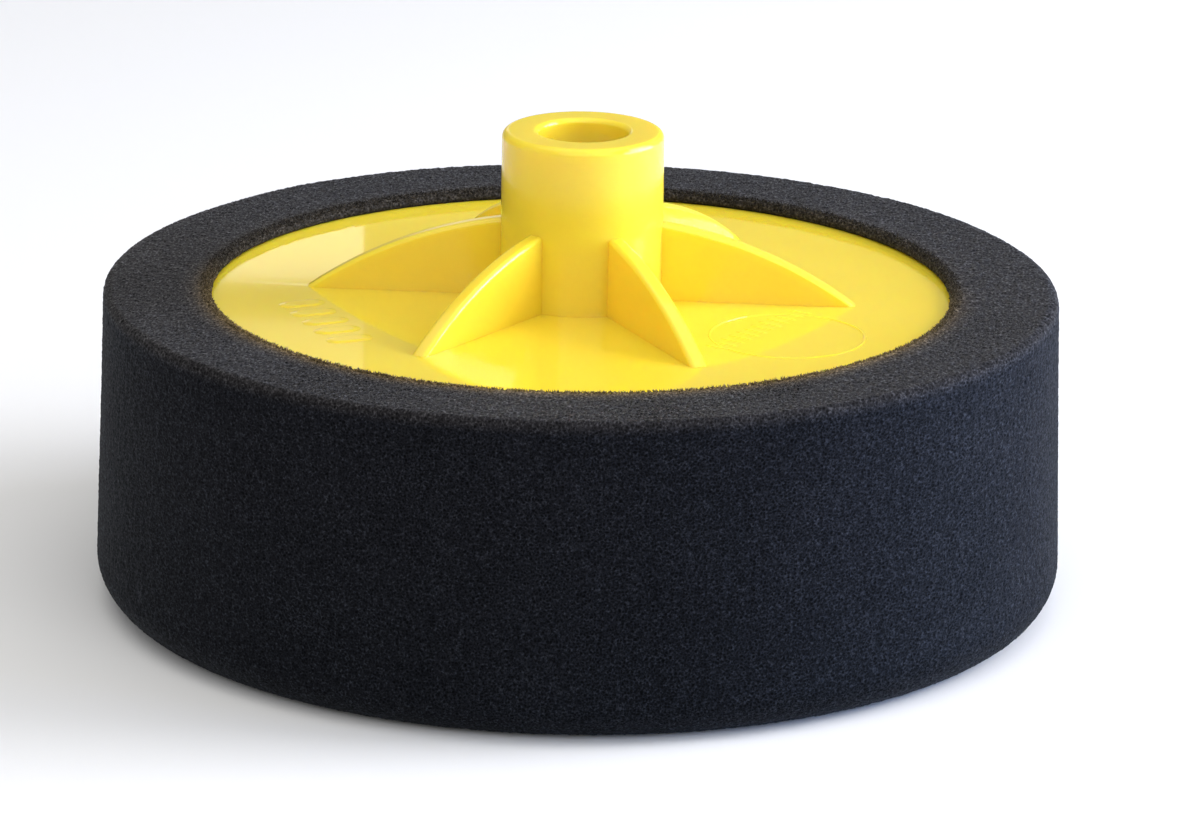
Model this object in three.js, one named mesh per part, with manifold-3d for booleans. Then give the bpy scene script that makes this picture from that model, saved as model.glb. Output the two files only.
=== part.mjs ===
// A rotary polisher's foam pad with a moulded-on plastic hub, for an M14 spindle.
// Millimetres, +Z up. The origin is the centre of the foam's working face, and +Z runs along the
// spindle axis towards the machine, so the pad lies foam down with its hub on top.

import * as THREE from "three";
import { mergeVertices } from "three/addons/utils/BufferGeometryUtils.js";
import Module from "manifold-3d";

const wasm = await Module();
wasm.setup();

// ---- driving dimensions -------------------------------------------------------------------

const TURN = 2 * Math.PI;
const ROUND_STEPS = 72; // facets in a full turn of the large round faces
const CLEARANCE = 0.3; // gap between neighbouring pieces

// Foam pad
const FOAM_HEIGHT = 50;
const FOAM_BACK_RADIUS = 75; // at the hub side
const FOAM_FACE_RADIUS = 76.2; // at the working face, the side flares a little
const FOAM_BACK_ROUND = 1.8; // rounding of the outer edge at the back
const FOAM_FACE_ROUND = 7; // rounding of the outer edge at the working face
const FOAM_LIP_RADIUS = 58.1; // the recess mouth, where the foam leans in over the disc's rim
const FOAM_LIP_ROUND = 1.5;

// Hub
const DISC_RADIUS = 58.9;
const DISC_THICKNESS = 4;
const DISC_TOP = 48.2; // height of the disc's face over the working face
const DISC_RIM_WIDTH = 1.1; // the outer band of the disc's face falls away gently to its edge
const DISC_RIM_DROP = 0.25;
const BOSS_TOP = 75;
const BOSS_BASE_RADIUS = 12.8;
const BOSS_DRAFT = 0.1; // how much slimmer the boss is at its top
const BOSS_EDGE_ROUND = 1.1;

// Ribs
const RIB_COUNT = 6;
const RIB_THICKNESS = 2.8;
const RIB_HEIGHT = 12.4; // over the disc, at the boss
const RIB_TIP_RADIUS = 43.3;
const RIB_CROWN = 2; // bulge of the curved top edge over its chord
const RIB_EDGE_ROUND = 0.8;
const RIB_SINK = 2; // how far a rib runs on inside the boss and the disc

// Spindle bore, from its mouth down
const MOUTH_RADIUS = 7.1;
const MOUTH_ROUND = 0.8;
const MOUTH_DEPTH = 5.4;

// Threaded insert, M14 x 2
const INSERT_RADIUS = 9; // over the knurl
const INSERT_LENGTH = 18;
const KNURL_DEPTH = 0.35;
const KNURL_FLUTES = 16;
const THREAD_PITCH = 2;
const THREAD_MINOR_RADIUS = 5.92;
const THREAD_MAJOR_RADIUS = 7.05;
const THREAD_LEAD_IN = 1.2; // length of the chamfer at each end
const THREAD_STEPS_AROUND = 32;
const THREAD_STEPS_PER_PITCH = 4;

// Adhesive film between the disc and the foam
const FILM_THICKNESS = 0.5;
const FILM_RADIUS = 56.5;

// Heights that follow from those
const DISC_BOTTOM = DISC_TOP - DISC_THICKNESS;
const FILM_TOP = DISC_BOTTOM - CLEARANCE;
const RECESS_FLOOR = FILM_TOP - FILM_THICKNESS - CLEARANCE;
const RECESS_RADIUS = DISC_RADIUS + CLEARANCE;
const INSERT_TOP = BOSS_TOP - MOUTH_DEPTH - CLEARANCE;
const INSERT_BOTTOM = INSERT_TOP - INSERT_LENGTH;
const POCKET_RADIUS = INSERT_RADIUS + CLEARANCE;
const POCKET_TOP = INSERT_TOP + CLEARANCE;
const POCKET_BOTTOM = INSERT_BOTTOM - CLEARANCE;

// ---- materials ----------------------------------------------------------------------------

const yellowPlastic = new THREE.MeshStandardMaterial({ color: 0xf4cf3a, roughness: 0.25 });
const steel = new THREE.MeshStandardMaterial({ color: 0xa8a8a4, roughness: 0.35, metalness: 1 });
const hotMelt = new THREE.MeshStandardMaterial({ color: 0xd9cfae, roughness: 0.5 });
const blackFoam = new THREE.MeshStandardMaterial({ color: 0x1c1d22, roughness: 0.95 });

// ---- helpers ------------------------------------------------------------------------------

// Points of a quarter round about a centre, in the (radius, height) plane.
function arc(centreR, centreZ, radius, fromAngle, toAngle, steps) {
  return Array.from({ length: steps + 1 }, (_, i) => {
    const angle = fromAngle + ((toAngle - fromAngle) * i) / steps;
    return new THREE.Vector2(centreR + radius * Math.cos(angle), centreZ + radius * Math.sin(angle));
  });
}

// A solid of revolution about Z. The profile starts and ends on the axis, lowest point first.
function revolve(profile, steps = ROUND_STEPS) {
  return new THREE.LatheGeometry(profile, steps).rotateX(Math.PI / 2);
}

// A closed geometry as a manifold-3d solid.
function toSolid(geometry) {
  const bare = geometry.index ? geometry.toNonIndexed() : geometry.clone();
  bare.deleteAttribute("normal");
  bare.deleteAttribute("uv");
  const merged = mergeVertices(bare, 1e-4);
  return new wasm.Manifold(
    new wasm.Mesh({
      numProp: 3,
      vertProperties: merged.attributes.position.array,
      triVerts: new Uint32Array(merged.index.array),
    }),
  );
}

// A manifold-3d solid back as a geometry.
function toGeometry(solid) {
  const mesh = solid.getMesh();
  const geometry = new THREE.BufferGeometry();
  geometry.setAttribute("position", new THREE.BufferAttribute(mesh.vertProperties, 3));
  geometry.setIndex(new THREE.BufferAttribute(mesh.triVerts, 1));
  geometry.computeVertexNormals();
  return geometry;
}

function part(name, geometry, material) {
  const mesh = new THREE.Mesh(geometry, material);
  mesh.name = name;
  return mesh;
}

// ---- foam pad -----------------------------------------------------------------------------

function foamPad() {
  const faceR = FOAM_FACE_RADIUS - FOAM_FACE_ROUND;
  const backR = FOAM_BACK_RADIUS - FOAM_BACK_ROUND;
  const lipR = FOAM_LIP_RADIUS + FOAM_LIP_ROUND;
  return revolve([
    new THREE.Vector2(0, 0),
    ...arc(faceR, FOAM_FACE_ROUND, FOAM_FACE_ROUND, -Math.PI / 2, 0, 6),
    ...arc(backR, FOAM_HEIGHT - FOAM_BACK_ROUND, FOAM_BACK_ROUND, 0, Math.PI / 2, 3),
    ...arc(lipR, FOAM_HEIGHT - FOAM_LIP_ROUND, FOAM_LIP_ROUND, Math.PI / 2, Math.PI, 3),
    new THREE.Vector2(RECESS_RADIUS, DISC_TOP),
    new THREE.Vector2(RECESS_RADIUS, RECESS_FLOOR),
    new THREE.Vector2(0, RECESS_FLOOR),
  ]);
}

// ---- adhesive film ------------------------------------------------------------------------

function adhesiveFilm() {
  return revolve([
    new THREE.Vector2(0, FILM_TOP - FILM_THICKNESS),
    new THREE.Vector2(FILM_RADIUS, FILM_TOP - FILM_THICKNESS),
    new THREE.Vector2(FILM_RADIUS, FILM_TOP),
    new THREE.Vector2(0, FILM_TOP),
  ]);
}

// ---- hub ----------------------------------------------------------------------------------

// The band of the disc's face inside its edge, as a quarter ellipse from the edge inwards.
function discRim() {
  const quarter = arc(0, 0, 1, 0, Math.PI / 2, 4);
  const innerR = DISC_RADIUS - DISC_RIM_WIDTH;
  return quarter.map(
    (p) => new THREE.Vector2(innerR + p.x * DISC_RIM_WIDTH, DISC_TOP + (p.y - 1) * DISC_RIM_DROP),
  );
}

// The disc, the boss and its stepped bore, as one turned shape.
function hubBody() {
  const bossTopR = BOSS_BASE_RADIUS - BOSS_DRAFT;
  const edgeR = bossTopR - BOSS_EDGE_ROUND;
  const lipR = MOUTH_RADIUS + MOUTH_ROUND;
  return revolve([
    new THREE.Vector2(0, DISC_BOTTOM),
    new THREE.Vector2(DISC_RADIUS, DISC_BOTTOM),
    ...discRim(),
    new THREE.Vector2(BOSS_BASE_RADIUS, DISC_TOP),
    ...arc(edgeR, BOSS_TOP - BOSS_EDGE_ROUND, BOSS_EDGE_ROUND, 0, Math.PI / 2, 3),
    ...arc(lipR, BOSS_TOP - MOUTH_ROUND, MOUTH_ROUND, Math.PI / 2, Math.PI, 2),
    new THREE.Vector2(MOUTH_RADIUS, POCKET_TOP),
    new THREE.Vector2(POCKET_RADIUS, POCKET_TOP),
    new THREE.Vector2(POCKET_RADIUS, POCKET_BOTTOM),
    new THREE.Vector2(0, POCKET_BOTTOM),
  ]);
}

// One rib, standing on the disc along +X: a web under an arc from the boss to its tip.
function rib() {
  const startR = BOSS_BASE_RADIUS;
  const chord = Math.hypot(RIB_TIP_RADIUS - startR, RIB_HEIGHT);
  const arcRadius = (chord * chord) / (8 * RIB_CROWN) + RIB_CROWN / 2;
  const chordAngle = Math.atan2(-RIB_HEIGHT, RIB_TIP_RADIUS - startR);
  const midR = (startR + RIB_TIP_RADIUS) / 2;
  const midZ = RIB_HEIGHT / 2;
  const drop = arcRadius - RIB_CROWN;
  const centreR = midR + drop * Math.sin(chordAngle);
  const centreZ = midZ - drop * Math.cos(chordAngle);
  const halfSweep = Math.asin(chord / 2 / arcRadius);
  const middle = chordAngle + Math.PI / 2;
  const crown = arc(centreR, centreZ, arcRadius, middle + halfSweep, middle - halfSweep, 10);

  const web = new THREE.Shape();
  web.moveTo(startR - RIB_SINK, -RIB_SINK);
  web.lineTo(startR - RIB_SINK, RIB_HEIGHT);
  crown.forEach((p) => web.lineTo(p.x, p.y));
  web.lineTo(RIB_TIP_RADIUS, -RIB_SINK);
  web.closePath();

  const flat = RIB_THICKNESS - 2 * RIB_EDGE_ROUND;
  return new THREE.ExtrudeGeometry(web, {
    depth: flat,
    bevelEnabled: true,
    bevelThickness: RIB_EDGE_ROUND,
    bevelSize: RIB_EDGE_ROUND,
    bevelOffset: -RIB_EDGE_ROUND,
    bevelSegments: 2,
  })
    .translate(0, 0, -flat / 2)
    .rotateX(Math.PI / 2)
    .translate(0, 0, DISC_TOP);
}

function hub() {
  let solid = toSolid(hubBody());
  for (let i = 0; i < RIB_COUNT; i++) {
    solid = solid.add(toSolid(rib().rotateZ((TURN * i) / RIB_COUNT)));
  }
  return toGeometry(solid);
}

// ---- threaded insert ----------------------------------------------------------------------

// Radius of the threaded wall: a V groove that climbs one pitch a turn, with chamfered ends.
function threadRadius(angle, height) {
  const turns = height / THREAD_PITCH - angle / TURN;
  const groove = Math.abs(2 * (turns - Math.floor(turns)) - 1);
  const wall = THREE.MathUtils.lerp(THREAD_MINOR_RADIUS, THREAD_MAJOR_RADIUS, groove);
  const fromEnd = Math.min(height, INSERT_LENGTH - height);
  const depth = THREAD_MAJOR_RADIUS - THREAD_MINOR_RADIUS;
  const chamfer = THREAD_MAJOR_RADIUS - (depth * fromEnd) / THREAD_LEAD_IN;
  return Math.max(wall, chamfer);
}

// Radius of the knurled outside: straight flutes all round.
function knurlRadius(index) {
  const columnsPerFlute = THREAD_STEPS_AROUND / KNURL_FLUTES;
  return INSERT_RADIUS - (index % columnsPerFlute === 0 ? 0 : KNURL_DEPTH);
}

// One closed skin: up the threaded wall, over the top face, down the knurl and back underneath.
function threadedInsert() {
  const rows = Math.round((INSERT_LENGTH / THREAD_PITCH) * THREAD_STEPS_PER_PITCH);
  const columns = THREAD_STEPS_AROUND;
  const rings = [];
  for (let row = 0; row <= rows; row++) {
    const height = (INSERT_LENGTH * row) / rows;
    rings.push((column) => [threadRadius((TURN * column) / columns, height), height]);
  }
  rings.push((column) => [knurlRadius(column), INSERT_LENGTH]);
  rings.push((column) => [knurlRadius(column), 0]);

  const positions = rings.flatMap((ring) =>
    Array.from({ length: columns }, (_, column) => {
      const angle = (TURN * column) / columns;
      const [radius, height] = ring(column);
      return [radius * Math.cos(angle), radius * Math.sin(angle), height];
    }).flat(),
  );
  const indices = [];
  for (let ring = 0; ring < rings.length; ring++) {
    const next = (ring + 1) % rings.length;
    for (let column = 0; column < columns; column++) {
      const beside = (column + 1) % columns;
      const a = ring * columns + column;
      const b = ring * columns + beside;
      const c = next * columns + beside;
      const d = next * columns + column;
      indices.push(a, d, b, b, d, c);
    }
  }
  const geometry = new THREE.BufferGeometry();
  geometry.setAttribute("position", new THREE.Float32BufferAttribute(positions, 3));
  geometry.setIndex(indices);
  geometry.translate(0, 0, INSERT_BOTTOM);
  geometry.computeVertexNormals();
  return geometry;
}

// ---- assembly -----------------------------------------------------------------------------

const group = new THREE.Group();
group.add(
  part("foam_pad", foamPad(), blackFoam),
  part("adhesive_layer", adhesiveFilm(), hotMelt),
  part("hub", hub(), yellowPlastic),
  part("threaded_insert", threadedInsert(), steel),
);

export default group;
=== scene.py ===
# The looks of a rotary polisher's foam pad: a block of black open-cell foam with a glossy yellow hub.
# Metres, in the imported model's own frame: +Z up the spindle axis, the foam's working face at z = 0.
import math

import bmesh
import bpy
import numpy as np
from mathutils import Matrix, Vector


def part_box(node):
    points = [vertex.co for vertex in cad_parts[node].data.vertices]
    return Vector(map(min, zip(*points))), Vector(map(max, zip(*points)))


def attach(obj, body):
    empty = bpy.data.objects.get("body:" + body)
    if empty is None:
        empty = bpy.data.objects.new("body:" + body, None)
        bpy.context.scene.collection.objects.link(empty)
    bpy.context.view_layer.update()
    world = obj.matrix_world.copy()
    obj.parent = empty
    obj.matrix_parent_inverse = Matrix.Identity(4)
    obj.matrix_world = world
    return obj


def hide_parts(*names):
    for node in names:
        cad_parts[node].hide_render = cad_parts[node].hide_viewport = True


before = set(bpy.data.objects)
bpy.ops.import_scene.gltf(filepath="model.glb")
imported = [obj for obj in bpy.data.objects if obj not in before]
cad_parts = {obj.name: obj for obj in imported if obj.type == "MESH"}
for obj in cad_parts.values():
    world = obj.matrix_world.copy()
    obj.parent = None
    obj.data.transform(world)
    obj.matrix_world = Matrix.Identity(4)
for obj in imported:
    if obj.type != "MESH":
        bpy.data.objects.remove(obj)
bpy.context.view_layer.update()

MM = 0.001
TURN = 2 * math.pi

# ---- dimensions, from the frame where it has them ------------------------------------------------

FOAM_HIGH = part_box("foam_pad")[1]
HUB_LOW, HUB_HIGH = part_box("hub")
INSERT_LOW, INSERT_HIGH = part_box("threaded_insert")
FILM_LOW, FILM_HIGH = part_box("adhesive_layer")

# Foam block
FOAM_HEIGHT = FOAM_HIGH.z
FACE_RADIUS = FOAM_HIGH.x  # the flared side's widest, above the working face's rounding
SIDE_FLARE = 1.2 * MM
BACK_RADIUS = FACE_RADIUS - SIDE_FLARE
FACE_ROUND = 7 * MM
BACK_ROUND = 1.5 * MM
RECESS_GAP = 0.3 * MM
RECESS_RADIUS = HUB_HIGH.x + RECESS_GAP  # round the disc; the wall leans in above it
WALL_LEAN = 1.1 * MM
LIP_RADIUS = RECESS_RADIUS - WALL_LEAN
LIP_ROUND = 1.5 * MM
RECESS_FLOOR = FILM_LOW.z - 0.1 * MM
RECESS_CHAMFER = 0.8 * MM

POINTS_ROUND = 1152
SKIN_STEP = 0.45 * MM
STRUT_SHARE = 1.0

# Foam skin: the size of each unevenness and how far it moves the skin
CELL_SIZE, CELL_DEPTH = 0.95 * MM, 0.11 * MM
GRIT_SIZE, GRIT_DEPTH = 0.5 * MM, 0.07 * MM
WAVE_SIZE, WAVE_DEPTH = 17 * MM, 0.10 * MM
EDGE_BAND = 0.8 * MM  # each side of the recess edge, where it is ragged
EDGE_SHIFT, EDGE_RAGGED = 0.10 * MM, 0.26 * MM

# Strut ends that stand up from the skin
LIP_STRUTS = 15000
BACK_STRUTS = 26000
STRUT_SINK = 0.08 * MM  # of the roots under the back face
STRUT_MARGIN = 2.2 * MM  # left bare at the outer edge

# Foam material: its fine net, and the zones between which its looks change: painted shade low on the
# side, painted light on the back face, and the disc's painted warm light on the recess lip
NET_CELL, NET_GRAIN, NET_DRIFT = 0.5 * MM, 0.42 * MM, 12 * MM
PAINTED_SIDE_SHADE_HEIGHTS = (0, 36 * MM)
PAINTED_BACK_LIGHT_HEIGHTS = (FOAM_HEIGHT - 2.1 * MM, FOAM_HEIGHT - 0.7 * MM)
PAINTED_LIP_LIGHT_HEIGHTS = (FOAM_HEIGHT - 6 * MM, FOAM_HEIGHT - 3 * MM)
PAINTED_LIP_LIGHT_RADII = (LIP_RADIUS + 5.5 * MM, LIP_RADIUS + 0.9 * MM)
PAINTED_LIP_LIGHT_DEPTHS = (8 * MM, -36 * MM)  # along Y

# Hub moulding
DISC_RADIUS = HUB_HIGH.x
DISC_BOTTOM = HUB_LOW.z
DISC_TOP = DISC_BOTTOM + 4 * MM
DISC_RIM_WIDTH = 0.8 * MM  # the band that dips gently towards the disc's edge
DISC_RIM_DROP = 0.18 * MM
DISC_UNDER_ROUND = 0.4 * MM
BOSS_TOP = HUB_HIGH.z
BOSS_BASE_RADIUS = 12.8 * MM
BOSS_TOP_RADIUS = 12.7 * MM
BOSS_EDGE_ROUND = 1.15 * MM
MOUTH_RADIUS = 7.05 * MM
MOUTH_ROUND = 0.8 * MM
POCKET_GAP = 0.05 * MM
POCKET_RADIUS = INSERT_HIGH.x + POCKET_GAP
POCKET_TOP = INSERT_HIGH.z + POCKET_GAP
POCKET_BOTTOM = INSERT_LOW.z - 0.3 * MM

# Ribs
RIB_COUNT = 6
RIB_BASE_WIDTH = 2.9 * MM
RIB_TOP_WIDTH = 2.7 * MM
RIB_TOP_ROUND = 0.75 * MM
RIB_HEIGHT = 12.4 * MM
RIB_TIP_RADIUS = 43.3 * MM
RIB_CROWN = 2 * MM
RIB_SINK = 1.5 * MM
RIB_LEAST = 0.01 * MM  # least height of a rib's section, where it has run out under the disc's face
RIB_SECTIONS = 60

# Plain raised marks on the disc: a ring and a row of bars in one bay, a row of pads in another
MARK_HEIGHT = 0.15 * MM
RING_RADIUS, RING_WIDTH = 12 * MM, 0.5 * MM
RING_DISTANCE, RING_AZIMUTH = 38.5 * MM, -29
BAR_COUNT, BAR_SPACING = 12, 2.2 * MM
BAR_LENGTH, BAR_WIDTH = 4.4 * MM, 0.9 * MM
BAR_DISTANCE, BAR_AZIMUTH = 33 * MM, -28
PAD_COUNT, PAD_SPACING = 5, 5.2 * MM
PAD_LENGTH, PAD_WIDTH = 7.5 * MM, 3.4 * MM
PAD_DISTANCE, PAD_AZIMUTH = 43 * MM, 208
PAD_HEIGHT = 0.2 * MM

# Threaded insert, M14 x 2
PITCH = 2 * MM
THREAD_MINOR = 5.92 * MM
THREAD_MAJOR = 7.05 * MM
THREAD_FLAT = 0.12  # width of the crest and of the root, as a share of the pitch
LEAD_IN = 1.2 * MM
KNURL_DEPTH = 0.3 * MM
KNURL_TEETH = 48
END_CHAMFER = 0.5 * MM
END_STEP = 0.15 * MM  # how far the ends lie inside the knurl's roots
INSERT_COLUMNS = 192
ROWS_PER_PITCH = 14

# Adhesive film's uneven edge
MELT_SIZE, MELT_DETAIL = 6 * MM, 2 * MM
MELT_PULL = 0.012  # about how far it draws in, as a share of the radius

# ---- mesh helpers --------------------------------------------------------------------------------


def arc(centre_r, centre_z, radius, start_deg, end_deg, steps):
    """Points of a circular arc in the (radius, height) plane."""
    angles = np.radians(np.linspace(start_deg, end_deg, steps + 1))
    return [(centre_r + radius * math.cos(a), centre_z + radius * math.sin(a)) for a in angles]


def spin(rows, counts):
    """Vertices and faces of rings about Z. Each row is (r, z), and counts says how many points its ring
    has: the next ring has the same number, or half or double as many. A row with r = 0 is one point."""
    vertices, faces, starts = [], [], []
    total = 0
    for (r, z), count in zip(rows, counts):
        starts.append(total)
        if r <= 0:
            vertices.append(np.array([[0.0, 0.0, z]]))
            total += 1
            continue
        angles = np.arange(count) * TURN / count
        vertices.append(np.column_stack([r * np.cos(angles), r * np.sin(angles), np.full(count, z)]))
        total += count
    rings = [(start, count, r <= 0) for start, count, (r, z) in zip(starts, counts, rows)]
    for lower, upper in zip(rings, rings[1:]):
        faces += bridge(lower, upper)
    return np.vstack(vertices), faces


def bridge(lower, upper):
    """Faces between two rings, facing away from the axis when the second lies above the first. Each ring
    is its first vertex's number, how many points it has, and whether it is a single point."""
    low, low_count, low_is_point = lower
    high, high_count, high_is_point = upper
    if low_is_point:
        return [(low, high + (j + 1) % high_count, high + j) for j in range(high_count)]
    if high_is_point:
        return [(low + j, low + (j + 1) % low_count, high) for j in range(low_count)]
    if low_count == high_count:
        return [
            (low + j, low + (j + 1) % low_count, high + (j + 1) % low_count, high + j)
            for j in range(low_count)
        ]
    faces = []
    if high_count < low_count:
        for j in range(high_count):
            a, b, c = low + 2 * j, low + 2 * j + 1, low + (2 * j + 2) % low_count
            p, q = high + j, high + (j + 1) % high_count
            faces += [(a, b, p), (b, q, p), (b, c, q)]
        return faces
    for j in range(low_count):
        a, b, c = high + 2 * j, high + 2 * j + 1, high + (2 * j + 2) % high_count
        p, q = low + j, low + (j + 1) % low_count
        faces += [(p, b, a), (p, q, b), (q, c, b)]
    return faces


def make_object(name, vertices, faces, material):
    """A linked, smoothly shaded mesh object with one material, or none."""
    mesh = bpy.data.meshes.new(name)
    mesh.from_pydata(np.asarray(vertices).tolist(), [], faces)
    mesh.validate()
    mesh.polygons.foreach_set("use_smooth", np.ones(len(mesh.polygons), bool))
    if material:
        mesh.materials.append(material)
    obj = bpy.data.objects.new(name, mesh)
    bpy.context.scene.collection.objects.link(obj)
    return obj


def lathe(name, profile, segments, material):
    """A solid of revolution whose profile starts and ends on the axis, lowest point first."""
    vertices, faces = spin(profile, [segments] * len(profile))
    return make_object(name, vertices, faces, material)


def loft(name, sections, material=None):
    """A closed solid through sections, each a closed loop of the same number of points."""
    count = len(sections[0])
    vertices = np.vstack(sections)
    faces = []
    for i in range(len(sections) - 1):
        for j in range(count):
            k = (j + 1) % count
            faces.append((i * count + j, i * count + k, (i + 1) * count + k, (i + 1) * count + j))
    last = (len(sections) - 1) * count
    faces.append(tuple(reversed(range(count))))
    faces.append(tuple(range(last, last + count)))
    return make_object(name, vertices, faces, material)


def recalculate_normals(obj):
    work = bmesh.new()
    work.from_mesh(obj.data)
    bmesh.ops.recalc_face_normals(work, faces=work.faces)
    work.to_mesh(obj.data)
    work.free()


def join_solids(body, extras):
    """Joins the other solids to body by an exact boolean, as one closed mesh."""
    group = bpy.data.collections.new("to_join")
    bpy.context.scene.collection.children.link(group)
    for extra in extras:
        recalculate_normals(extra)
        group.objects.link(extra)
    union = body.modifiers.new("join", "BOOLEAN")
    union.operation = "UNION"
    union.solver = "EXACT"
    union.operand_type = "COLLECTION"
    union.collection = group
    apply_modifiers(body)
    for extra in extras:
        bpy.data.objects.remove(extra)
    bpy.data.collections.remove(group)


def shade_by_area(obj, sharp_deg):
    """Keeps flat faces flat up to their fillets, and breaks the shading only at true edges."""
    obj.data.set_sharp_from_angle(angle=math.radians(sharp_deg))
    weighted = obj.modifiers.new("face_weighted_normals", "WEIGHTED_NORMAL")
    weighted.mode = "FACE_AREA"
    weighted.weight = 50
    weighted.keep_sharp = True
    apply_modifiers(obj)


def apply_modifiers(obj):
    evaluated = obj.evaluated_get(bpy.context.evaluated_depsgraph_get())
    mesh = bpy.data.meshes.new_from_object(evaluated)
    obj.modifiers.clear()
    obj.data = mesh


def round_wall_normals(obj, low, high, radius):
    """Gives the faces of an upright round wall the true outward normals of a cylinder, however the wall
    has been cut up by what was joined to it. A face belongs to the wall when its middle is near the
    radius and it looks level and straight out."""
    near, level, straight = 0.2 * MM, 0.1, 0.97
    mesh = obj.data
    normals = np.zeros(len(mesh.loops) * 3, np.float32)
    mesh.corner_normals.foreach_get("vector", normals)
    normals = normals.reshape(-1, 3)
    for face in mesh.polygons:
        centre, out = face.center, face.normal
        reach = math.hypot(centre.x, centre.y)
        if not low < centre.z < high or abs(reach - radius) > near or abs(out.z) > level:
            continue
        if out.x * centre.x + out.y * centre.y < straight * reach:
            continue
        for corner in face.loop_indices:
            spot = mesh.vertices[mesh.loops[corner].vertex_index].co
            length = math.hypot(spot.x, spot.y)
            normals[corner] = (spot.x / length, spot.y / length, 0)
    mesh.normals_split_custom_set(normals.tolist())


# ---- seeded noise for the foam's cells -----------------------------------------------------------


def hashed(ix, iy, iz, seed):
    """A repeatable number from 0 to 1 for each whole-number grid point."""
    h = (ix * 73856093) ^ (iy * 19349663) ^ (iz * 83492791) ^ (seed * 2654435761)
    h = (h & 0xFFFFFFFF).astype(np.uint64)
    h = ((h ^ (h >> np.uint64(15))) * np.uint64(2246822519)) & np.uint64(0xFFFFFFFF)
    h = ((h ^ (h >> np.uint64(13))) * np.uint64(3266489917)) & np.uint64(0xFFFFFFFF)
    return ((h ^ (h >> np.uint64(16))) & np.uint64(0xFFFFFF)).astype(float) / 0xFFFFFF


def cell_walls(points, size, seed):
    """How near each point is to a wall between two foam cells of about that size, from 0 in the middle
    of a cell to 1 on a wall."""
    scaled = points / size
    base = np.floor(scaled).astype(np.int64)
    nearest = np.full(len(points), 9.0)
    second = np.full(len(points), 9.0)
    for dx in (-1, 0, 1):
        for dy in (-1, 0, 1):
            for dz in (-1, 0, 1):
                ix, iy, iz = base[:, 0] + dx, base[:, 1] + dy, base[:, 2] + dz
                centre = np.column_stack([
                    ix + hashed(ix, iy, iz, seed),
                    iy + hashed(ix, iy, iz, seed + 1),
                    iz + hashed(ix, iy, iz, seed + 2),
                ])
                distance = np.linalg.norm(scaled - centre, axis=1)
                second = np.minimum(second, np.maximum(nearest, distance))
                nearest = np.minimum(nearest, distance)
    return 1 - np.clip((second - nearest) / 0.5, 0, 1)


def value_noise(points, size, seed):
    """Smooth noise from -1 to 1 that changes over about that size."""
    scaled = points / size
    base = np.floor(scaled).astype(np.int64)
    part = scaled - base
    part = part * part * (3 - 2 * part)
    total = np.zeros(len(points))
    for dx in (0, 1):
        for dy in (0, 1):
            for dz in (0, 1):
                weight = (
                    (part[:, 0] if dx else 1 - part[:, 0])
                    * (part[:, 1] if dy else 1 - part[:, 1])
                    * (part[:, 2] if dz else 1 - part[:, 2])
                )
                total += weight * hashed(base[:, 0] + dx, base[:, 1] + dy, base[:, 2] + dz, seed)
    return 2 * total - 1


# ---- materials -----------------------------------------------------------------------------------


class Nodes:
    """A small helper that adds nodes to one material's tree and links them."""

    def __init__(self, name):
        self.material = bpy.data.materials.new(name)
        self.material.use_nodes = True
        self.tree = self.material.node_tree
        self.shader = self.tree.nodes["Principled BSDF"]

    def add(self, kind, inputs=None, **settings):
        node = self.tree.nodes.new(kind)
        for key, value in settings.items():
            setattr(node, key, value)
        for key, value in (inputs or {}).items():
            self.put(value, node.inputs[key])
        return node

    def put(self, value, socket):
        if isinstance(value, bpy.types.NodeSocket):
            self.tree.links.new(value, socket)
        else:
            socket.default_value = value

    def set(self, **values):
        """Sets or links the shader's own sockets."""
        for key, value in values.items():
            self.put(value, self.shader.inputs[key.replace("_", " ")])

    def position(self):
        return self.add("ShaderNodeTexCoord").outputs["Object"]

    def noise(self, place, size, **inputs):
        """Noise from 0 to 1 with features of about that size."""
        node = self.add("ShaderNodeTexNoise", {"Vector": place, "Scale": 1 / size, **inputs})
        return node.outputs["Fac"]

    def ramp(self, factor, stops):
        """Colours along factor, from (place, colour) stops."""
        node = self.add("ShaderNodeValToRGB", {"Fac": factor})
        while len(node.color_ramp.elements) < len(stops):
            node.color_ramp.elements.new(0.5)
        for element, (place, colour) in zip(node.color_ramp.elements, stops):
            element.position = place
            element.color = (*colour, 1)
        return node.outputs["Color"]

    def between(self, value, start, end):
        """0 at start and 1 at end, whichever of them is larger."""
        node = self.add("ShaderNodeMapRange", {"Value": value, "From Min": start, "From Max": end})
        return node.outputs["Result"]

    def scale(self, factor, low, high):
        """low where factor is 0, high where it is 1."""
        node = self.add("ShaderNodeMapRange", {"Value": factor, "To Min": low, "To Max": high})
        return node.outputs["Result"]

    def math(self, operation, a, b):
        return self.add("ShaderNodeMath", {0: a, 1: b}, operation=operation).outputs[0]

    def blend(self, kind, a, b):
        """Two colours put together in full, by MULTIPLY or ADD."""
        mix = self.add("ShaderNodeMix", {0: 1.0, 6: a, 7: b}, data_type="RGBA", blend_type=kind)
        return mix.outputs[2]

    def bump(self, height, strength, distance):
        node = self.add("ShaderNodeBump", {"Height": height, "Strength": strength, "Distance": distance})
        return node.outputs["Normal"]


def grey(level):
    return (level, level, level)


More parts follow.
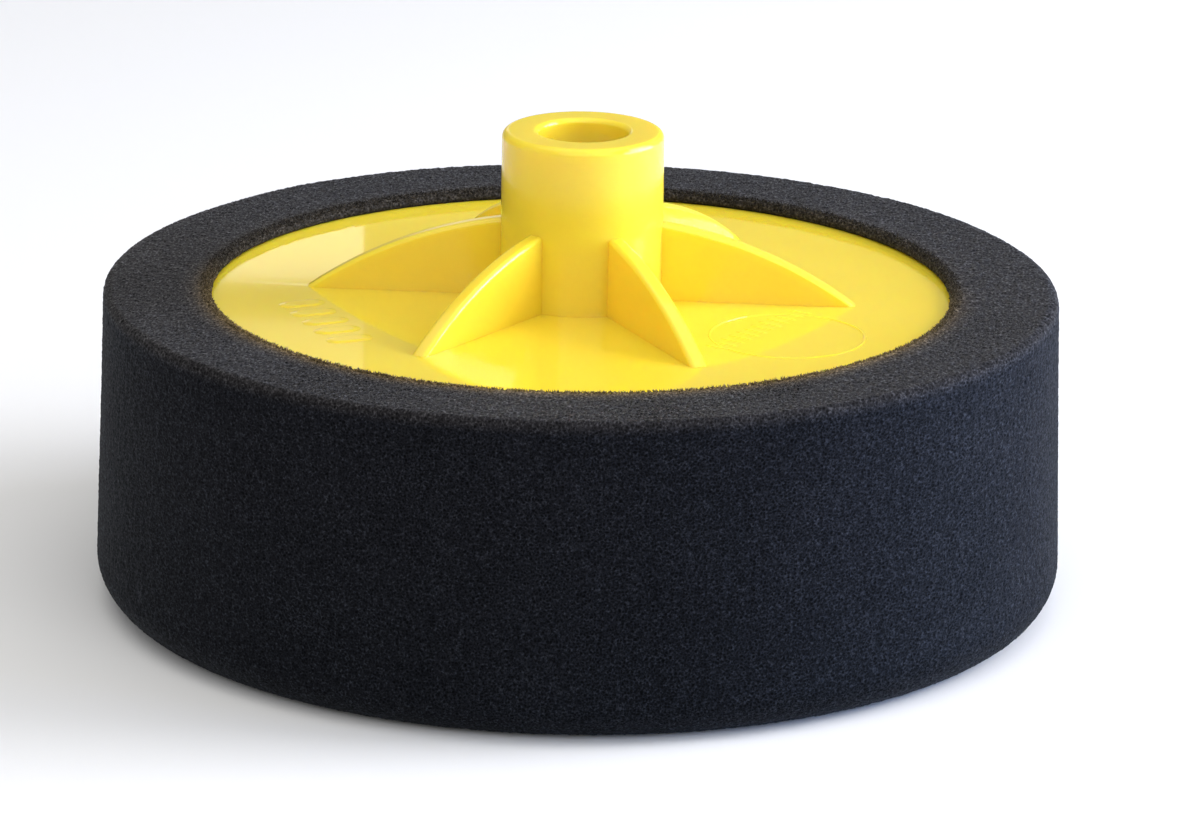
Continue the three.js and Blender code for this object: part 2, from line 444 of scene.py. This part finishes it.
def foam_net(n):
    """The foam's fine net of struts over dark pits: how light each spot is, and its height. The pits are
    darkened by painted shade and the brightest grains are painted glints, over the net's own tone. The
    cells are drawn out along one axis, the way the foam rose."""
    place = n.add("ShaderNodeMapping", {"Vector": n.position(), "Scale": (1.0, 0.5, 1.0)}).outputs["Vector"]
    cells = n.add(
        "ShaderNodeTexVoronoi",
        {"Vector": place, "Scale": 1 / NET_CELL, "Randomness": 1.0},
        feature="DISTANCE_TO_EDGE",
    ).outputs["Distance"]
    grain = n.noise(place, NET_GRAIN, Detail=3.0, Roughness=0.6)
    drift = n.noise(place, NET_DRIFT, Detail=2.0)
    # the pits' darkness is painted shade, and the grains' brightest specks are painted glints
    struts_and_painted_pit_shade = n.ramp(cells, [(0.0, grey(1.8)), (0.12, grey(1.15)), (0.4, grey(0.6))])
    grains_and_painted_glints = n.ramp(grain, [(0.38, grey(0.5)), (0.55, grey(0.95)), (0.7, grey(2.3))])
    drifts = n.ramp(drift, [(0.3, grey(0.93)), (0.7, grey(1.07))])
    light = n.blend("MULTIPLY", n.blend("MULTIPLY", struts_and_painted_pit_shade, grains_and_painted_glints), drifts)
    return light, n.math("ADD", n.scale(cells, 1.0, 0.0), grain)


def painted_lip_light(n, place):
    """Painted light: the warm light that the polished disc throws on the recess lip, painted into the
    foam's colour, strongest towards -Y.
    """
    flat = n.add("ShaderNodeCombineXYZ", {"X": place["X"], "Y": place["Y"]}).outputs["Vector"]
    radius = n.add("ShaderNodeVectorMath", {0: flat}, operation="LENGTH").outputs["Value"]
    painted_warm_light = n.ramp(n.between(radius, *PAINTED_LIP_LIGHT_RADII), [
        (0.0, grey(0.0)),
        (0.22, (0.007, 0.005, 0.003)),
        (0.46, (0.020, 0.014, 0.006)),
        (0.7, (0.052, 0.033, 0.009)),
        (1.0, (0.140, 0.094, 0.025)),
    ])
    painted_light_to_front = n.ramp(n.between(place["Y"], *PAINTED_LIP_LIGHT_DEPTHS), [(0.0, (0.09, 0.1, 0.16)), (1.0, grey(1.0))])
    at_lip = n.between(place["Z"], *PAINTED_LIP_LIGHT_HEIGHTS)
    return n.blend("MULTIPLY", n.blend("MULTIPLY", painted_warm_light, painted_light_to_front), at_lip)


def foam_material():
    """Black open-cell foam, matt, with a sheen that is strongest on the cut back face. The back face's
    lighter colour and stronger sheen are painted light, and so is the blue tint of the side's sheen. The
    side is darker towards the bottom by painted shade, and the recess lip has the disc's painted warm
    light.
    """
    n = Nodes("black_foam")
    light, height = foam_net(n)
    place = n.add("ShaderNodeSeparateXYZ", {"Vector": n.position()}).outputs
    painted_shade_height = n.between(place["Z"], *PAINTED_SIDE_SHADE_HEIGHTS)
    painted_light_on_back = n.between(place["Z"], *PAINTED_BACK_LIGHT_HEIGHTS)
    # painted shade: the side's colour is darker towards the bottom
    side = n.ramp(painted_shade_height, [(0.0, (0.0018, 0.0022, 0.0034)), (1.0, (0.0027, 0.0028, 0.0040))])
    # painted light: the back face's colour is lighter
    back = n.ramp(painted_light_on_back, [(0.0, grey(0.0)), (1.0, (0.0074, 0.0064, 0.0056))])
    black = n.blend("ADD", side, back)
    # painted light: the disc's warm light on the recess lip is added into the colour
    colour = n.blend("MULTIPLY", light, n.blend("ADD", black, painted_lip_light(n, place)))
    n.set(Base_Color=colour, Normal=n.bump(height, 0.5, 0.1 * MM), Roughness=0.72)
    # painted light: the sheen is stronger on the back face, and its tint is blue on the side
    sheen = n.math("MULTIPLY", light, n.scale(painted_light_on_back, 0.012, 0.056))
    tint = n.ramp(painted_light_on_back, [(0.0, (0.50, 0.68, 1.0)), (1.0, (1.0, 0.985, 0.99))])
    n.set(Sheen_Weight=sheen, Sheen_Roughness=0.5, Sheen_Tint=tint)
    n.set(Specular_IOR_Level=n.math("MULTIPLY", light, 0.1), Specular_Tint=(0.82, 0.88, 1.0, 1))
    return n.material


def yellow_plastic_material():
    """Injection-moulded yellow plastic, slightly translucent: the disc's face is mirror-polished, and the
    boss and ribs standing above it have a softer gloss."""
    n = Nodes("yellow_plastic")
    position = n.position()
    cloud = n.noise(position, 18 * MM, Detail=3.0)
    dust = n.noise(position, 0.9 * MM, Detail=4.0)
    colour = n.ramp(cloud, [(0.3, (0.845, 0.658, 0.044)), (0.7, (0.865, 0.674, 0.051))])
    height = n.add("ShaderNodeSeparateXYZ", {"Vector": position}).outputs["Z"]
    standing = n.between(height, DISC_TOP + 0.2 * MM, DISC_TOP + 1.5 * MM)
    polished, satin = n.scale(dust, 0.015, 0.04), n.scale(dust, 0.10, 0.16)
    roughness = n.add("ShaderNodeMix", {0: standing, 2: polished, 3: satin}, data_type="FLOAT")
    n.set(Base_Color=colour, Roughness=roughness.outputs[0])
    n.set(Subsurface_Weight=0.85, Subsurface_Radius=(1.0, 0.78, 0.18), Subsurface_Scale=3.0 * MM)
    n.set(IOR=1.5, Specular_IOR_Level=0.5)
    return n.material


def steel_material():
    """Zinc-plated turned steel: fine rings left by the tool and a slightly uneven shine."""
    n = Nodes("zinc_plated_steel")
    position = n.position()
    bands = n.add(
        "ShaderNodeTexWave",
        {"Vector": position, "Scale": 1 / (0.9 * MM), "Distortion": 1.5, "Detail": 2.0},
        wave_type="BANDS",
        bands_direction="Z",
    ).outputs["Fac"]
    patches = n.noise(position, 3 * MM, Detail=4.0)
    colour = n.ramp(patches, [(0.3, (0.52, 0.51, 0.47)), (0.7, (0.66, 0.66, 0.64))])
    n.set(Base_Color=colour, Metallic=1.0, Roughness=n.scale(patches, 0.24, 0.42))
    n.set(Normal=n.bump(bands, 0.3, 0.02 * MM))
    return n.material


def adhesive_material():
    """Waxy hot-melt adhesive, cloudy and a little yellow."""
    n = Nodes("hot_melt")
    cloud = n.noise(n.position(), 4 * MM, Detail=5.0)
    colour = n.ramp(cloud, [(0.3, (0.60, 0.52, 0.33)), (0.7, (0.74, 0.68, 0.50))])
    n.set(Base_Color=colour, Roughness=n.scale(cloud, 0.35, 0.5), Normal=n.bump(cloud, 0.5, 0.2 * MM))
    n.set(Subsurface_Weight=0.5, Subsurface_Radius=(1.0, 0.8, 0.5), Subsurface_Scale=1.0 * MM)
    return n.material


# ---- hub -----------------------------------------------------------------------------------------


def disc_rim():
    """The disc's top edge, outermost point first: a quarter of a wide, shallow ellipse."""
    return [
        (DISC_RADIUS - DISC_RIM_WIDTH * (1 - across), DISC_TOP - DISC_RIM_DROP * (1 - up))
        for across, up in arc(0, 0, 1, 0, 90, 14)
    ]


def hub_profile():
    """The hub's disc, boss and stepped bore, as one half section."""
    return [
        (0, DISC_BOTTOM),
        *arc(DISC_RADIUS - DISC_UNDER_ROUND, DISC_BOTTOM + DISC_UNDER_ROUND, DISC_UNDER_ROUND, -90, 0, 4),
        *disc_rim(),
        (BOSS_BASE_RADIUS, DISC_TOP),
        *arc(BOSS_TOP_RADIUS - BOSS_EDGE_ROUND, BOSS_TOP - BOSS_EDGE_ROUND, BOSS_EDGE_ROUND, 0, 90, 14),
        *arc(MOUTH_RADIUS + MOUTH_ROUND, BOSS_TOP - MOUTH_ROUND, MOUTH_ROUND, 90, 180, 8),
        (MOUTH_RADIUS, POCKET_TOP),
        (POCKET_RADIUS, POCKET_TOP),
        (POCKET_RADIUS, POCKET_BOTTOM),
        (0, POCKET_BOTTOM),
    ]


def rib_height(radius):
    """Height of a rib's top edge over the disc: an arc from the boss down to the tip."""
    run = RIB_TIP_RADIUS - BOSS_BASE_RADIUS
    chord = math.hypot(run, RIB_HEIGHT)
    arc_radius = chord * chord / (8 * RIB_CROWN) + RIB_CROWN / 2
    drop = arc_radius - RIB_CROWN
    centre_r = (BOSS_BASE_RADIUS + RIB_TIP_RADIUS) / 2 - drop * RIB_HEIGHT / chord
    centre_z = RIB_HEIGHT / 2 - drop * run / chord
    return centre_z + math.sqrt(arc_radius**2 - (radius - centre_r) ** 2)


def rib_section(radius):
    """A rib's closed outline across its length, (sideways, height over the disc)."""
    top = rib_height(radius)
    half_base, half_top = RIB_BASE_WIDTH / 2, RIB_TOP_WIDTH / 2
    side = [
        (half_base, -RIB_SINK),
        *arc(half_top - RIB_TOP_ROUND, top - RIB_TOP_ROUND, RIB_TOP_ROUND, 0, 90, 8),
    ]
    return side + [(-y, z) for y, z in reversed(side)]


def rib(index):
    """One rib as a closed solid, a little sunk into the boss and the disc."""
    stations = np.linspace(BOSS_BASE_RADIUS - RIB_SINK, RIB_TIP_RADIUS + RIB_SINK, RIB_SECTIONS)
    lowest = RIB_LEAST - RIB_SINK
    sections = [
        np.array([(radius, y, max(z, lowest) + DISC_TOP) for y, z in rib_section(radius)])
        for radius in stations
    ]
    for section in sections:
        section[[0, -1], 2] = DISC_TOP - RIB_SINK
    obj = loft(f"rib_{index}", sections)
    obj.data.transform(Matrix.Rotation(TURN * index / RIB_COUNT, 4, "Z"))
    return obj


def raised_outline(name, path, width):
    """A low raised line on the disc that follows a closed path of (x, y) points."""
    path = np.asarray(path)
    ahead = np.roll(path, -1, 0) - np.roll(path, 1, 0)
    ahead /= np.linalg.norm(ahead, axis=1)[:, None]
    side = np.column_stack([ahead[:, 1], -ahead[:, 0]])
    outline = [(-0.5, -0.3), (-0.42, 0.7), (-0.22, 1), (0.22, 1), (0.42, 0.7), (0.5, -0.3)]
    rings = []
    for across, up in outline:
        spot = path + side * across * width
        rings.append(np.column_stack([spot, np.full(len(path), DISC_TOP + up * MARK_HEIGHT)]))
    count = len(path)
    faces = []
    for i in range(len(rings)):
        k = (i + 1) % len(rings)
        for j in range(count):
            m = (j + 1) % count
            faces.append((i * count + j, i * count + m, k * count + m, k * count + j))
    return make_object(name, np.vstack(rings), faces, None)


def pill(length, width, steps=16):
    """A rounded outline with straight sides, centred on the origin, as (x, y) points."""
    half, radius = length / 2 - width / 2, width / 2
    right = arc(half, 0, radius, -90, 90, steps)
    left = arc(-half, 0, radius, 90, 270, steps)
    return np.array(right + left)


def placed(points, distance, azimuth_deg):
    """Points turned about the origin to face an azimuth, and moved out that way."""
    a = math.radians(azimuth_deg)
    turned = points @ np.array([[math.cos(a), math.sin(a)], [-math.sin(a), math.cos(a)]])
    return turned + distance * np.array([math.cos(a), math.sin(a)])


def plain_marks():
    """Plain raised marks: a thin ring and a row of short bars in one bay, a row of pads in another."""
    circle = np.array(arc(0, 0, RING_RADIUS, 0, 360, 96)[:-1])
    marks = [raised_outline("mark_ring", placed(circle, RING_DISTANCE, RING_AZIMUTH), RING_WIDTH)]
    for i in range(BAR_COUNT):
        bar = pill(BAR_LENGTH, BAR_WIDTH, 6) + [0, (i - (BAR_COUNT - 1) / 2) * BAR_SPACING]
        marks.append(raised_bar(f"mark_bar_{i}", placed(bar, BAR_DISTANCE, BAR_AZIMUTH), MARK_HEIGHT))
    for i in range(PAD_COUNT):
        pad = pill(PAD_LENGTH, PAD_WIDTH) + [0, (i - (PAD_COUNT - 1) / 2) * PAD_SPACING]
        marks.append(raised_bar(f"mark_pad_{i}", placed(pad, PAD_DISTANCE, PAD_AZIMUTH), PAD_HEIGHT))
    return marks


def raised_bar(name, outline, height):
    """A low raised pad on the disc with that closed outline and sloping sides."""
    middle = outline.mean(0)
    sections = []
    for inset, up in [(0, -1), (0, 0.1), (0.2, 0.9), (0.3, 1)]:
        ring = outline + (middle - outline) * inset
        sections.append(np.column_stack([ring, np.full(len(ring), DISC_TOP + up * height)]))
    return loft(name, sections)


def make_hub(material):
    hub = lathe("hub_moulding", hub_profile(), 240, material)
    join_solids(hub, [rib(i) for i in range(RIB_COUNT)] + plain_marks())
    shade_by_area(hub, 38)
    round_wall_normals(hub, DISC_TOP, BOSS_TOP - BOSS_EDGE_ROUND, BOSS_BASE_RADIUS)
    return hub


# ---- threaded insert -----------------------------------------------------------------------------


def thread_radius(angle, height, length):
    """Radius of the threaded wall: a V groove with flat crest and root, chamfered at both ends."""
    turns = height / PITCH - angle / TURN
    groove = np.abs(2 * (turns - np.floor(turns)) - 1)
    groove = np.clip((groove - THREAD_FLAT) / (1 - 2 * THREAD_FLAT), 0, 1)
    wall = THREAD_MINOR + (THREAD_MAJOR - THREAD_MINOR) * groove
    from_end = np.minimum(height, length - height)
    chamfer = THREAD_MAJOR - (THREAD_MAJOR - THREAD_MINOR) * from_end / LEAD_IN
    return np.maximum(wall, chamfer)


def make_insert(material):
    """The steel bush: threaded wall inside, straight knurl outside, small chamfers."""
    columns = INSERT_COLUMNS
    length = INSERT_HIGH.z - INSERT_LOW.z
    outer = INSERT_HIGH.x
    angles = np.arange(columns) * TURN / columns
    heights = np.linspace(0, length, round(length / PITCH) * ROWS_PER_PITCH + 1)
    rings = [(thread_radius(angles, h, length), h) for h in heights]
    teeth = np.abs(2 * ((angles * KNURL_TEETH / TURN) % 1) - 1)
    knurl = outer - KNURL_DEPTH * teeth
    plain = np.full(columns, outer - KNURL_DEPTH - END_STEP)
    rings += [(plain, length), (knurl, length - END_CHAMFER)]
    rings += [(knurl, END_CHAMFER), (plain, 0.0)]
    vertices = np.vstack([
        np.column_stack([r * np.cos(angles), r * np.sin(angles), np.full(columns, INSERT_LOW.z + h)])
        for r, h in rings
    ])
    faces = []
    for i in range(len(rings)):
        k = (i + 1) % len(rings)
        for j in range(columns):
            m = (j + 1) % columns
            faces.append((i * columns + j, k * columns + j, k * columns + m, i * columns + m))
    insert = make_object("insert_bush", vertices, faces, material)
    shade_by_area(insert, 35)
    return insert


# ---- adhesive film -------------------------------------------------------------------------------


def make_adhesive(material):
    """A thin film with an uneven, rounded edge where the melt stopped."""
    low, high, radius = FILM_LOW.z, FILM_HIGH.z, FILM_HIGH.x
    half = (high - low) / 2
    edge = arc(radius - half, low + half, half, -90, 90, 8)
    inner = [radius * share for share in (0.97, 0.9, 0.75, 0.5, 0.25)]
    under = [(r, low) for r in reversed(inner)]
    over = [(r, high) for r in inner]
    film = lathe("adhesive_film", [(0, low), *under, *edge, *over, (0, high)], 180, material)
    points = np.array([v.co for v in film.data.vertices])
    out = np.hypot(points[:, 0], points[:, 1]) / radius
    flat = points * [1, 1, 0]
    wobble = value_noise(flat, MELT_SIZE, seed=31) + 0.5 * value_noise(flat, MELT_DETAIL, seed=37)
    pull = 1 - MELT_PULL * (1 + wobble) * np.clip(out, 0, 1) ** 8
    points[:, :2] *= pull[:, None]
    film.data.vertices.foreach_set("co", points.ravel())
    film.data.update()
    return film


# ---- foam block ----------------------------------------------------------------------------------


def spread(profile, step):
    """The same line with points about every step along it."""
    points = [profile[0]]
    for (r0, z0), (r1, z1) in zip(profile, profile[1:]):
        pieces = max(1, round(math.hypot(r1 - r0, z1 - z0) / step))
        for i in range(1, pieces + 1):
            points.append((r0 + (r1 - r0) * i / pieces, z0 + (z1 - z0) * i / pieces))
    return points


def foam_rows():
    """The foam's half section as (r, z) rows and how many points each ring has, from the middle of the
    working face, up the side, over the back and down into the recess."""
    face_rows = []
    edge_r = FACE_RADIUS - FACE_ROUND
    r = 2.0 * MM
    while r < edge_r - 0.6 * SKIN_STEP:
        face_rows.append((r, 0.0))
        r += 0.9 * MM if r < 50 * MM else 0.7 * MM
    side = arc(edge_r, FACE_ROUND, FACE_ROUND, -90, 0, 22)
    side += arc(BACK_RADIUS - BACK_ROUND, FOAM_HEIGHT - BACK_ROUND, BACK_ROUND, 0, 90, 6)
    side += arc(LIP_RADIUS + LIP_ROUND, FOAM_HEIGHT - LIP_ROUND, LIP_ROUND, 90, 180, 6)
    side += [(RECESS_RADIUS, DISC_TOP - 0.2 * MM)]
    shown = spread(side, SKIN_STEP)
    hidden = [
        (RECESS_RADIUS, RECESS_FLOOR + RECESS_CHAMFER),
        (RECESS_RADIUS - RECESS_CHAMFER, RECESS_FLOOR),
    ]
    floor = [(r * MM, RECESS_FLOOR) for r in (50, 40, 30, 20, 12, 6, 3)]
    rows = [(0, 0.0)] + face_rows + shown + hidden + floor + [(0, RECESS_FLOOR)]
    return rows, even_out([points_at(r) for r, _ in rows])


def points_at(radius):
    """How many points a ring of that radius needs, halved for each halving of the radius."""
    count = POINTS_ROUND
    while radius < 0.55 * FACE_RADIUS * count / POINTS_ROUND and count > POINTS_ROUND / 64:
        count //= 2
    return count


def even_out(counts):
    """Makes each ring's count the same, half or double its neighbour's."""
    for order in (range(1, len(counts)), range(len(counts) - 2, -1, -1)):
        step = 1 if order.step > 0 else -1
        for i in order:
            counts[i] = max(counts[i], counts[i - step] // 2)
    return counts


def foam_relief(points, normals):
    """Moves the skin in and out: cut cells all over, slow waves, and a ragged recess edge."""
    radius, height = np.hypot(points[:, 0], points[:, 1]), points[:, 2]
    cells = cell_walls(points, CELL_SIZE, seed=5) - 0.5
    grit = value_noise(points, GRIT_SIZE, seed=11)
    wave = value_noise(points, WAVE_SIZE, seed=3) * (height > 2 * MM)
    depth = CELL_DEPTH * cells + GRIT_DEPTH * grit + WAVE_DEPTH * wave
    # half as deep on the recess wall, and none where the hub and the film hide it
    inside = (radius < RECESS_RADIUS + 0.3 * MM) & (height > 1 * MM)
    buried = inside & (height < DISC_TOP)
    on_wall = inside & (height < FOAM_HEIGHT - 0.4 * MM)
    depth *= np.where(buried, 0.0, np.where(on_wall, 0.5, 1.0))
    moved = points + normals * depth[:, None]
    near_edge = np.exp(-(((radius - LIP_RADIUS) / EDGE_BAND) ** 2)) * (height > FOAM_HEIGHT - 1.2 * MM)
    ragged = value_noise(points, 0.45 * MM, seed=23) + 0.6 * value_noise(points, 1.1 * MM, seed=29)
    outward = points * [1, 1, 0] / np.maximum(radius, 1e-6)[:, None]
    moved -= outward * (near_edge * (EDGE_SHIFT + EDGE_RAGGED * ragged))[:, None]
    return moved


def strut_tips(roots, directions, lengths, widths, first):
    """Loose strut ends: a thin three-sided spike from each root. first is the first vertex's number."""
    ahead = directions / np.linalg.norm(directions, axis=1)[:, None]
    helper = np.where(np.abs(ahead[:, 2:]) < 0.9, [[0.0, 0, 1]], [[1.0, 0, 0]])
    across = np.cross(ahead, helper)
    across /= np.linalg.norm(across, axis=1)[:, None]
    other = np.cross(ahead, across)
    corners = [
        roots + (across * math.cos(a) + other * math.sin(a)) * widths[:, None] / 2
        for a in (0, TURN / 3, 2 * TURN / 3)
    ]
    vertices = np.stack([*corners, roots + ahead * lengths[:, None]], 1).reshape(-1, 3)
    faces = []
    for k in (first + 4 * np.arange(len(roots))).tolist():
        faces += [(k, k + 2, k + 1), (k, k + 1, k + 3), (k + 1, k + 2, k + 3), (k + 2, k, k + 3)]
    return vertices, faces


def strut_knots(roots, directions, lengths, widths, first):
    """Broken strut ends that stand up with a knot near the top: a thin root, a wide waist and a point."""
    ahead = directions / np.linalg.norm(directions, axis=1)[:, None]
    across = np.cross(ahead, [[0.3, 0.9, 0.2]])
    across /= np.linalg.norm(across, axis=1)[:, None]
    other = np.cross(ahead, across)
    rings = []
    for share, along in ((0.35, 0.0), (1.0, 0.6)):
        for a in (0, TURN / 3, 2 * TURN / 3):
            spoke = (across * math.cos(a) + other * math.sin(a)) * widths[:, None] / 2
            rings.append(roots + spoke * share + ahead * (lengths * along)[:, None])
    vertices = np.stack([*rings, roots + ahead * lengths[:, None]], 1).reshape(-1, 3)
    faces = []
    for k in (first + 7 * np.arange(len(roots))).tolist():
        faces.append((k, k + 2, k + 1))
        for i in range(3):
            j = (i + 1) % 3
            faces += [(k + i, k + j, k + 3 + j, k + 3 + i), (k + 3 + i, k + 3 + j, k + 6)]
    return vertices, faces


def scattered(count, seed, line, lean, length, width):
    """Roots, directions, lengths and widths of strut ends spread round the foam, along a line of (r, z)
    points. lean is the range that they point outwards, the most sideways, and the range upwards."""
    rng = np.random.default_rng(seed)
    angles = rng.uniform(0, TURN, count)
    radial = np.column_stack([np.cos(angles), np.sin(angles), np.zeros(count)])
    tangent = np.column_stack([-np.sin(angles), np.cos(angles), np.zeros(count)])
    place = rng.uniform(0, len(line) - 1, count)
    radii, heights = (np.interp(place, np.arange(len(line)), part) for part in np.transpose(line))
    roots = radial * radii[:, None] + [0, 0, 1] * heights[:, None]
    out, along, up = lean
    directions = radial * rng.uniform(*out, count)[:, None]
    directions += tangent * rng.uniform(-along, along, count)[:, None]
    directions += [0, 0, 1] * rng.uniform(*up, count)[:, None]
    return roots, directions, rng.uniform(*length, count), rng.uniform(*width, count)


def make_foam(material):
    rows, counts = foam_rows()
    vertices, faces = spin(rows, counts)
    foam = make_object("foam_block", vertices, faces, material)
    normals = np.zeros(len(vertices) * 3, np.float32)
    foam.data.vertices.foreach_get("normal", normals)
    moved = foam_relief(vertices, normals.reshape(-1, 3).astype(float))
    bpy.data.objects.remove(foam)
    lip = scattered(
        int(LIP_STRUTS * STRUT_SHARE), seed=41,
        line=arc(LIP_RADIUS + LIP_ROUND, FOAM_HEIGHT - LIP_ROUND, LIP_ROUND - 0.15 * MM, 80, 155, 12),
        lean=((-0.9, 0.5), 0.8, (0.4, 1.0)), length=(0.2 * MM, 0.8 * MM), width=(0.11 * MM, 0.2 * MM),
    )
    back_z = FOAM_HEIGHT - STRUT_SINK
    back = scattered(
        int(BACK_STRUTS * STRUT_SHARE), seed=43,
        line=[(LIP_RADIUS + LIP_ROUND, back_z), (BACK_RADIUS - STRUT_MARGIN, back_z)],
        lean=((-0.8, 0.8), 0.8, (0.2, 0.8)), length=(0.1 * MM, 0.22 * MM), width=(0.16 * MM, 0.3 * MM),
    )
    for shape, ends in ((strut_knots, lip), (strut_tips, back)):
        extra, extra_faces = shape(*ends, len(moved))
        moved = np.vstack([moved, extra])
        faces = faces + extra_faces
    return make_object("foam_block", moved, faces, material)


# ---- stage, lights, camera -----------------------------------------------------------------------


# The camera looks down at this angle round the pad and above the horizon. AIM is the point it looks at,
# before the turn round the pad.
CAMERA_AZIMUTH = 4.9
CAMERA_ELEVATION = 16.98
CAMERA_DISTANCE = 1.058
CAMERA_ROLL = 0.807
CAMERA_LENS = 203.8  # mm
CAMERA_SENSOR = 36  # mm wide
AIM = Vector((1.75 * MM, 0, 28.7 * MM))

FLOOR_REACH = 6.0
FLOOR_DROP = 0.15 * MM  # keeps the foam's uneven face clear of the floor
WORLD_STRENGTH = 0.25
WARM_WHITE = (1.0, 0.98, 0.95)
KEY_WHITE = (1.0, 0.98, 0.97)
SKY_BLUE = (0.37, 0.55, 1.0)
WINDOW_DISTANCE = 3.0
WINDOW_WIDTH = 0.5
WINDOW_RIGHT_EDGE = -0.141  # to the right of the spindle's axis, so this is to its left


def make_floor():
    n = Nodes("pale_floor")
    n.set(Base_Color=(0.88, 0.88, 0.88, 1), Roughness=0.9, Specular_IOR_Level=0.1)
    square = [(-1, -1), (1, -1), (1, 1), (-1, 1)]
    corners = [(x * FLOOR_REACH, y * FLOOR_REACH, 0) for x, y in square]
    floor = make_object("floor", corners, [(0, 1, 2, 3)], n.material)
    floor.location.z = -FLOOR_DROP


def area_light(name, place, size, radiance, colour=(1, 1, 1)):
    """A rectangular softbox that faces the middle of the pad, as bright as radiance says. place is its
    middle as (azimuth, elevation, distance): azimuth 0 is the camera's side of the pad, 90 its right."""
    azimuth, elevation, distance = place
    width, height = size
    data = bpy.data.lights.new(name, "AREA")
    data.shape = "RECTANGLE"
    data.size, data.size_y = size
    data.energy = radiance * math.pi * width * height
    data.color = colour
    light = bpy.data.objects.new(name, data)
    a, e = math.radians(azimuth + CAMERA_AZIMUTH), math.radians(elevation)
    away = Vector((math.sin(a) * math.cos(e), -math.cos(a) * math.cos(e), math.sin(e)))
    light.location = Vector((0, 0, DISC_TOP)) + away * distance
    light.rotation_euler = away.to_track_quat("Z", "Y").to_euler()
    light.visible_camera = False
    bpy.context.scene.collection.objects.link(light)
    return light


def window_pane(name, bottom, top, radiance):
    """An upright pane of a far window behind the pad, seen mirrored in the glossy disc. bottom and top
    are its edges' heights over the foam's working face."""
    place = (180, 0, WINDOW_DISTANCE)
    light = area_light(name, place, (WINDOW_WIDTH, top - bottom), radiance)
    across = WINDOW_RIGHT_EDGE - WINDOW_WIDTH / 2
    a = math.radians(CAMERA_AZIMUTH)
    light.location += Vector((across * math.cos(a), across * math.sin(a), (bottom + top) / 2 - DISC_TOP))


def make_world():
    world = bpy.data.worlds.new("studio")
    world.use_nodes = True
    background = world.node_tree.nodes["Background"]
    background.inputs["Color"].default_value = (1, 1, 1, 1)
    background.inputs["Strength"].default_value = WORLD_STRENGTH
    bpy.context.scene.world = world


def make_lights():
    area_light("top_softbox", (0, 86, 1.1), (1.5, 1.5), radiance=1.12, colour=WARM_WHITE)
    area_light("front_wash", (5, 30, 1.4), (2.0, 0.9), radiance=1.6)
    area_light("left_wash", (-70, 20, 1.4), (1.2, 0.9), radiance=0.66)
    area_light("key_right", (98, 28, 0.95), (0.54, 0.7), radiance=4.4, colour=KEY_WHITE)
    area_light("key_core", (88, 28, 0.94), (0.42, 0.2), radiance=12.0, colour=KEY_WHITE)
    area_light("sky_right", (88, 2, 1.0), (1.0, 0.5), radiance=14.0, colour=SKY_BLUE)
    window_pane("window_low_pane", bottom=0.50, top=0.900, radiance=0.9)
    window_pane("window_high_pane", bottom=0.925, top=1.40, radiance=0.32)


def make_camera():
    data = bpy.data.cameras.new("camera")
    data.sensor_width = CAMERA_SENSOR
    data.lens = CAMERA_LENS
    data.clip_start, data.clip_end = 0.05, 50
    camera = bpy.data.objects.new("camera", data)
    bpy.context.scene.collection.objects.link(camera)
    e, roll = math.radians(CAMERA_ELEVATION), math.radians(CAMERA_ROLL)
    back = Vector((0, -math.cos(e), math.sin(e)))
    level = Vector((1, 0, 0))
    upright = back.cross(level)
    right = math.cos(roll) * level + math.sin(roll) * upright
    up = -math.sin(roll) * level + math.cos(roll) * upright
    turn = Matrix.Rotation(math.radians(CAMERA_AZIMUTH), 3, "Z")
    axes = Matrix([turn @ right, turn @ up, turn @ back]).transposed()
    place = turn @ (AIM + back * CAMERA_DISTANCE)
    camera.matrix_world = Matrix.Translation(place) @ axes.to_4x4()
    bpy.context.scene.camera = camera


# ---- assembly ------------------------------------------------------------------------------------

PIECES = [
    (make_hub, yellow_plastic_material, "hub", "yellow_plastic"),
    (make_insert, steel_material, "threaded_insert", "steel"),
    (make_adhesive, adhesive_material, "adhesive_layer", "hot_melt"),
    (make_foam, foam_material, "foam_pad", "black_foam"),
]

make_camera()
for make, material, node, slot in PIECES:
    piece = make(material())
    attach(piece, "root")
    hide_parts(node)

make_floor()
make_world()
make_lights()
bpy.context.scene.view_settings.view_transform = "Standard"
